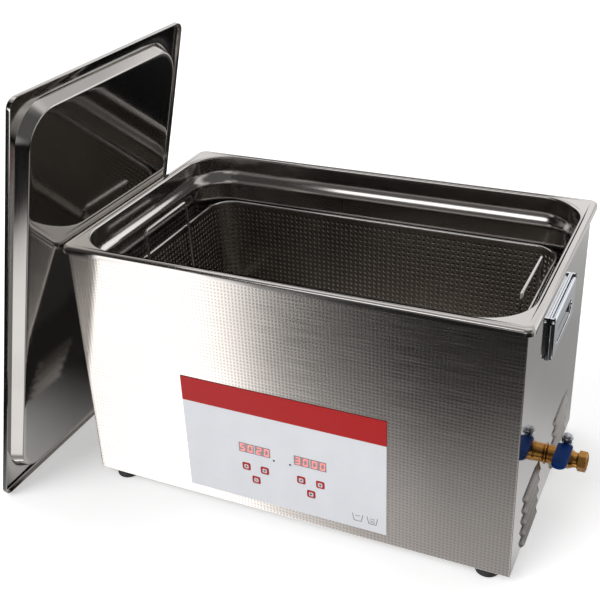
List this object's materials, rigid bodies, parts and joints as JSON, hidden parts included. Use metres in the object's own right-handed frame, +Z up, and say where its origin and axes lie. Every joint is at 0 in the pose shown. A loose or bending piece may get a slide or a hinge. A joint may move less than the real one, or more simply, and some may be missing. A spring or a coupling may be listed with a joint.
{
  "type": "ultrasonic cleaner",
  "caption": "Stainless bench ultrasonic cleaner: boxy case, heated tank with lift-out mesh basket, digital panel, drain valve, drop handles and a lid leaning on its side.",
  "frame": {"origin": "on the floor, under the middle of the whole, with the leaning lid and the drain valve counted in", "axes": "+X to the right of someone facing the control panel, towards the drain valve; +Y to the back; +Z up"},
  "size_m": [0.657, 0.406, 0.5146],
  "materials": {
    "brushed_steel": "brushed",
    "polished_steel": "polished",
    "chrome": "polished",
    "brass": "satin",
    "black_rubber": "matte",
    "black_plastic": "satin",
    "aluminium": "satin",
    "circuit_board": "solder mask",
    "label_film": "semi-gloss",
    "display_window": "glossy",
    "red_key": "satin",
    "blue_vinyl": "semi-gloss",
    "silicone_heater": "matte",
    "copper_winding": "wound wire"
  },
  "bodies": {
    "unit": {"tank": "polished_steel", "front_panel": "brushed_steel", "rear_panel": "brushed_steel", "left_panel": "brushed_steel", "right_panel": "brushed_steel", "base_plate": "brushed_steel", "foot_front_left": "black_rubber", "foot_front_right": "black_rubber", "foot_rear_left": "black_rubber", "foot_rear_right": "black_rubber", "control_label": "label_film", "display_window_left": "display_window", "display_window_right": "display_window", "control_board": "circuit_board", "handle_plate_left": "chrome", "handle_plate_right": "chrome", "drain_elbow": "brass", "valve_body": "brass", "transducer_front_1": "aluminium", "transducer_front_2": "aluminium", "transducer_front_3": "aluminium", "transducer_front_4": "aluminium", "transducer_front_5": "aluminium", "transducer_rear_1": "aluminium", "transducer_rear_2": "aluminium", "transducer_rear_3": "aluminium", "transducer_rear_4": "aluminium", "transducer_rear_5": "aluminium", "heater_front": "silicone_heater", "heater_rear": "silicone_heater", "temperature_sensor": "aluminium", "generator_board": "circuit_board", "heat_sink": "aluminium", "transformer": "copper_winding", "fan_frame": "black_plastic", "power_inlet": "black_plastic", "switch_housing": "black_plastic", "fuse_holder": "black_plastic"},
    "lid": {"lid": "polished_steel", "lid_handle": "black_plastic"},
    "basket": {"basket_shell": "polished_steel", "basket_rim": "polished_steel", "basket_handle_left": "polished_steel", "basket_handle_right": "polished_steel"},
    "key_temperature_up": {"key_temperature_up": "red_key"},
    "key_temperature_down": {"key_temperature_down": "red_key"},
    "key_heat": {"key_heat": "red_key"},
    "key_time_up": {"key_time_up": "red_key"},
    "key_time_down": {"key_time_down": "red_key"},
    "key_start": {"key_start": "red_key"},
    "bail_left": {"handle_bail_left": "chrome"},
    "bail_right": {"handle_bail_right": "chrome"},
    "valve_turn": {"valve_ball": "polished_steel", "valve_stem": "brass", "valve_lever": "blue_vinyl", "valve_nut": "chrome"},
    "rotor": {"fan_rotor": "black_plastic"},
    "rocker": {"switch_rocker": "black_plastic"}
  },
  "joints": [
    {"name": "lid_tip", "type": "hinge", "parent": "unit", "child": "lid", "pos_m": [-0.32873, -0.042, 0.00173], "axis": [0, -1, 0], "range_deg": [0, 95]},
    {"name": "basket_lift", "type": "slide", "parent": "unit", "child": "basket", "axis": [0.0523, 0, 0.9986], "range_m": [0, 0.24]},
    {"name": "press_temperature_up", "type": "slide", "parent": "unit", "child": "key_temperature_up", "axis": [0, 1, 0], "range_m": [0, 0.0005], "stiffness_N_per_m": 800, "springref_m": -0.0005},
    {"name": "press_temperature_down", "type": "slide", "parent": "unit", "child": "key_temperature_down", "axis": [0, 1, 0], "range_m": [0, 0.0005], "stiffness_N_per_m": 800, "springref_m": -0.0005},
    {"name": "press_heat", "type": "slide", "parent": "unit", "child": "key_heat", "axis": [0, 1, 0], "range_m": [0, 0.0005], "stiffness_N_per_m": 800, "springref_m": -0.0005},
    {"name": "press_time_up", "type": "slide", "parent": "unit", "child": "key_time_up", "axis": [0, 1, 0], "range_m": [0, 0.0005], "stiffness_N_per_m": 800, "springref_m": -0.0005},
    {"name": "press_time_down", "type": "slide", "parent": "unit", "child": "key_time_down", "axis": [0, 1, 0], "range_m": [0, 0.0005], "stiffness_N_per_m": 800, "springref_m": -0.0005},
    {"name": "press_start", "type": "slide", "parent": "unit", "child": "key_start", "axis": [0, 1, 0], "range_m": [0, 0.0005], "stiffness_N_per_m": 800, "springref_m": -0.0005},
    {"name": "bail_left_swing", "type": "hinge", "parent": "unit", "child": "bail_left", "pos_m": [-0.23986, 0.0365, 0.2715], "axis": [0, 1, 0], "range_deg": [0, 24]},
    {"name": "bail_right_swing", "type": "hinge", "parent": "unit", "child": "bail_right", "pos_m": [0.28534, 0.0365, 0.2715], "axis": [0, -1, 0], "range_deg": [0, 90]},
    {"name": "drain_turn", "type": "hinge", "parent": "unit", "child": "valve_turn", "pos_m": [0.30344, 0.0365, 0.0888], "axis": [0, 0, 1], "range_deg": [0, 90]},
    {"name": "fan_spin", "type": "hinge", "parent": "unit", "child": "rotor", "pos_m": [-0.12726, 0.178, 0.064], "axis": [0, 1, 0], "continuous": true},
    {"name": "power_rocker", "type": "hinge", "parent": "unit", "child": "rocker", "pos_m": [0.13273, 0.1923, 0.055], "axis": [1, 0, 0], "range_deg": [0, 18]}
  ]
}
